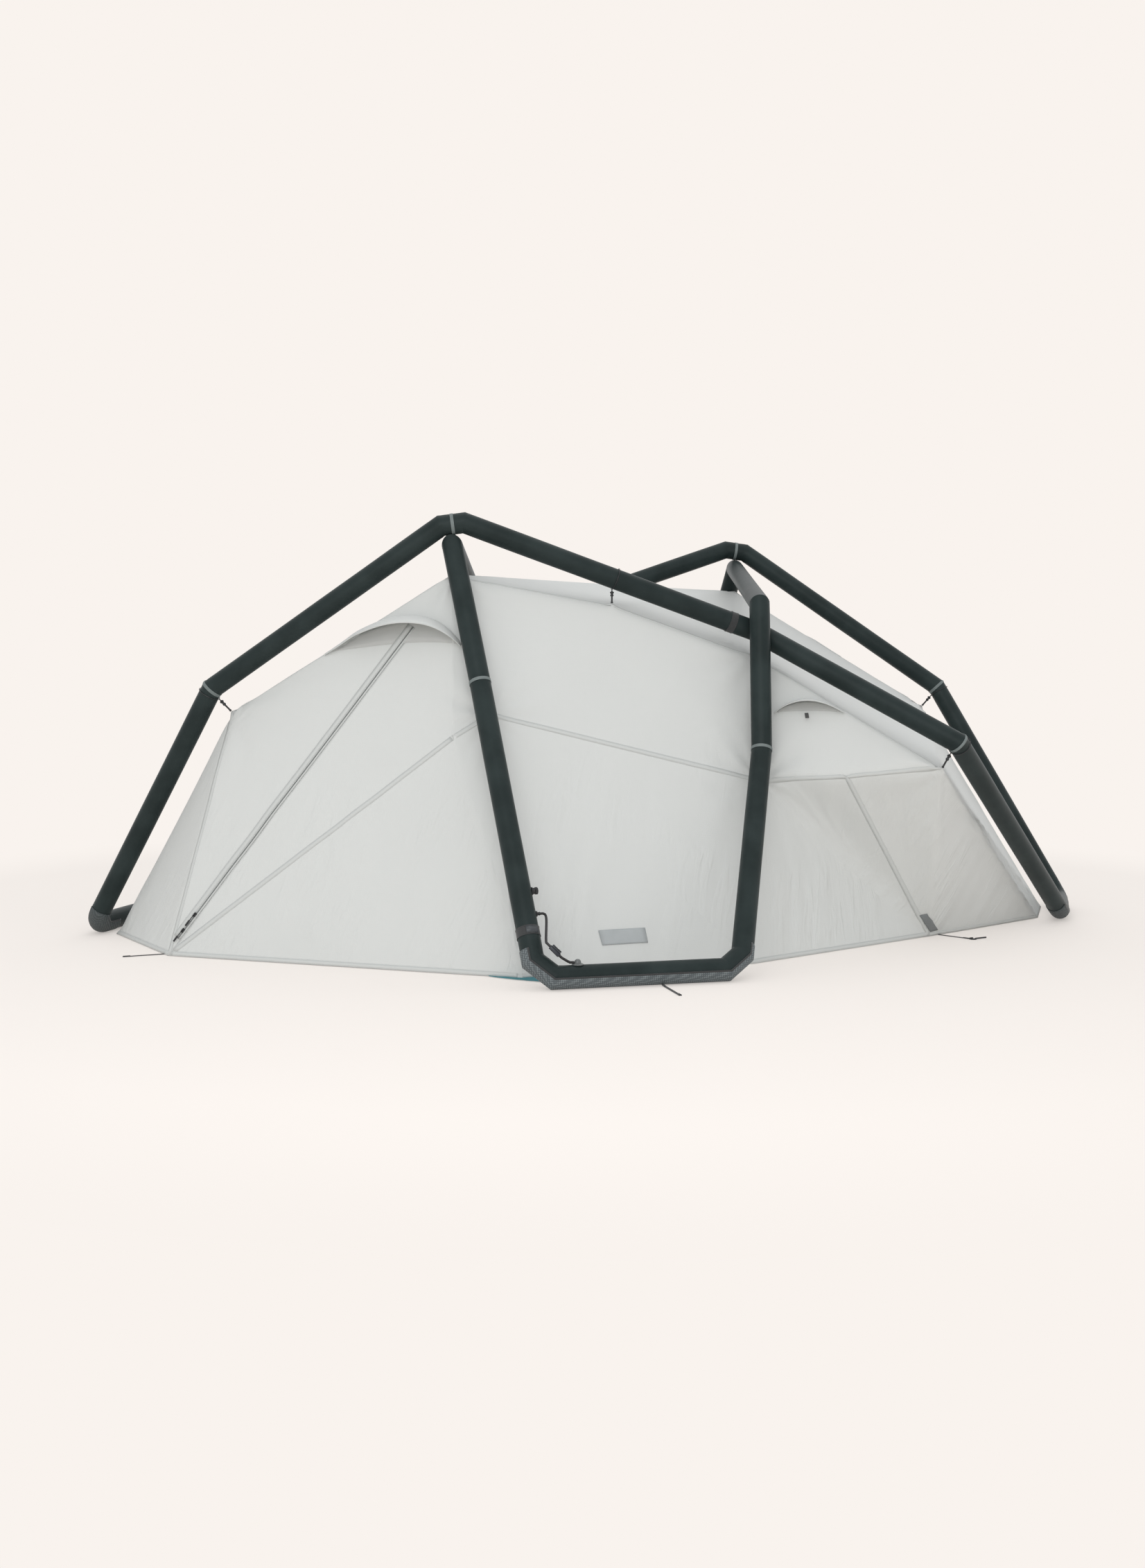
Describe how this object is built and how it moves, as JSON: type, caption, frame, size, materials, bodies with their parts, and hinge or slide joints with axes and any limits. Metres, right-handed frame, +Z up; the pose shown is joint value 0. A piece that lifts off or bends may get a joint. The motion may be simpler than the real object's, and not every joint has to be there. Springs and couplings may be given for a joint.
{
  "type": "inflatable_tent",
  "caption": "Inflatable family tent: an outside frame of dark air tubes carries a pale grey outer tent with zipped doors and vents over a hung inner tent.",
  "frame": {"origin": "on the ground under the centre of the roof", "axes": "+X along the tent to its right end as seen from the door side, +Z up"},
  "size_m": [3.5094, 2.736, 1.3699],
  "materials": {
    "black": "moulded, matt",
    "fabric": "thin coated ripstop, satin",
    "guard": "woven abrasion fabric, matt",
    "hose": "smooth, satin",
    "inner": "thin breathable nylon, matt",
    "strap": "woven webbing, matt",
    "tub": "coated floor fabric, matt",
    "tube": "woven polyester sleeve over an air bladder, satin"
  },
  "bodies": {
    "tent": {"clamp_body": "black", "dome_fitting": "black", "floor_tub": "tub", "front_arch_tube": "tube", "front_corner_strap": "strap", "front_crossing_band": "strap", "front_crossing_hook": "black", "front_door_hood": "fabric", "front_end_hook": "black", "front_ground_guard": "guard", "front_hoop_strap": "strap", "front_hoop_tube": "tube", "front_inner_toggle": "black", "front_left_foot_guard": "guard", "front_lower_slider": "black", "front_middle_hook": "black", "front_right_foot_guard": "guard", "front_side_hook": "black", "front_side_peg": "black", "front_side_strap": "strap", "front_vent_hood": "fabric", "front_zip_tape": "black", "hose_fitting": "black", "inner_tent": "inner", "left_ground_tube": "tube", "leg_band": "strap", "lower_hose": "hose", "outer_tent": "fabric", "rear_arch_tube": "tube", "rear_corner_strap": "strap", "rear_crossing_band": "strap", "rear_crossing_hook": "black", "rear_door_hood": "fabric", "rear_end_hook": "black", "rear_ground_guard": "guard", "rear_hoop_strap": "strap", "rear_hoop_tube": "tube", "rear_inner_toggle": "black", "rear_left_foot_guard": "guard", "rear_lower_slider": "black", "rear_middle_hook": "black", "rear_right_foot_guard": "guard", "rear_side_hook": "black", "rear_side_peg": "black", "rear_side_strap": "strap", "rear_vent_hood": "fabric", "rear_zip_tape": "black", "right_ground_tube": "tube", "upper_hose": "hose", "valve_body": "black"},
    "front_door_leaf": {"front_door": "fabric"},
    "front_zip_pull": {"front_upper_slider": "black"},
    "front_strut": {"front_vent_strut": "black"},
    "rear_door_leaf": {"rear_door": "fabric"},
    "rear_zip_pull": {"rear_upper_slider": "black"},
    "rear_strut": {"rear_vent_strut": "black"},
    "screw_cap": {"valve_cap": "black"},
    "clamp_arm": {"clamp_lever": "black"}
  },
  "joints": [
    {"name": "front_door_hinge", "type": "hinge", "parent": "tent", "child": "front_door_leaf", "pos_m": [-0.40038, -1.0711, 0.01239], "axis": [-0.2347, 0.4347, 0.8695], "range_deg": [0, 80]},
    {"name": "front_zip_slide", "type": "slide", "parent": "tent", "child": "front_zip_pull", "axis": [0.6028, 0.0291, 0.7973], "range_m": [0, 1.063]},
    {"name": "front_vent_strut_hinge", "type": "hinge", "parent": "tent", "child": "front_strut", "pos_m": [0.55161, -0.62454, 0.73171], "axis": [0.9519, -0.2987, 0.0688], "range_deg": [0, 60]},
    {"name": "rear_door_hinge", "type": "hinge", "parent": "tent", "child": "rear_door_leaf", "pos_m": [0.40038, 1.0711, 0.01239], "axis": [0.2347, -0.4347, 0.8695], "range_deg": [0, 80]},
    {"name": "rear_zip_slide", "type": "slide", "parent": "tent", "child": "rear_zip_pull", "axis": [-0.6028, -0.0291, 0.7973], "range_m": [0, 1.063]},
    {"name": "rear_vent_strut_hinge", "type": "hinge", "parent": "tent", "child": "rear_strut", "pos_m": [-0.55161, 0.62454, 0.73171], "axis": [-0.9519, 0.2987, 0.0688], "range_deg": [0, 60]},
    {"name": "valve_cap_screw", "type": "hinge", "parent": "tent", "child": "screw_cap", "pos_m": [-0.36289, -1.10739, 0.25767], "axis": [0.9835, 0.1762, 0.0411], "continuous": true},
    {"name": "clamp_lever_hinge", "type": "hinge", "parent": "tent", "child": "clamp_arm", "pos_m": [-0.32546, -1.24259, 0.12381], "axis": [-0.0374, -0.9882, 0.1485], "range_deg": [0, 60]}
  ]
}
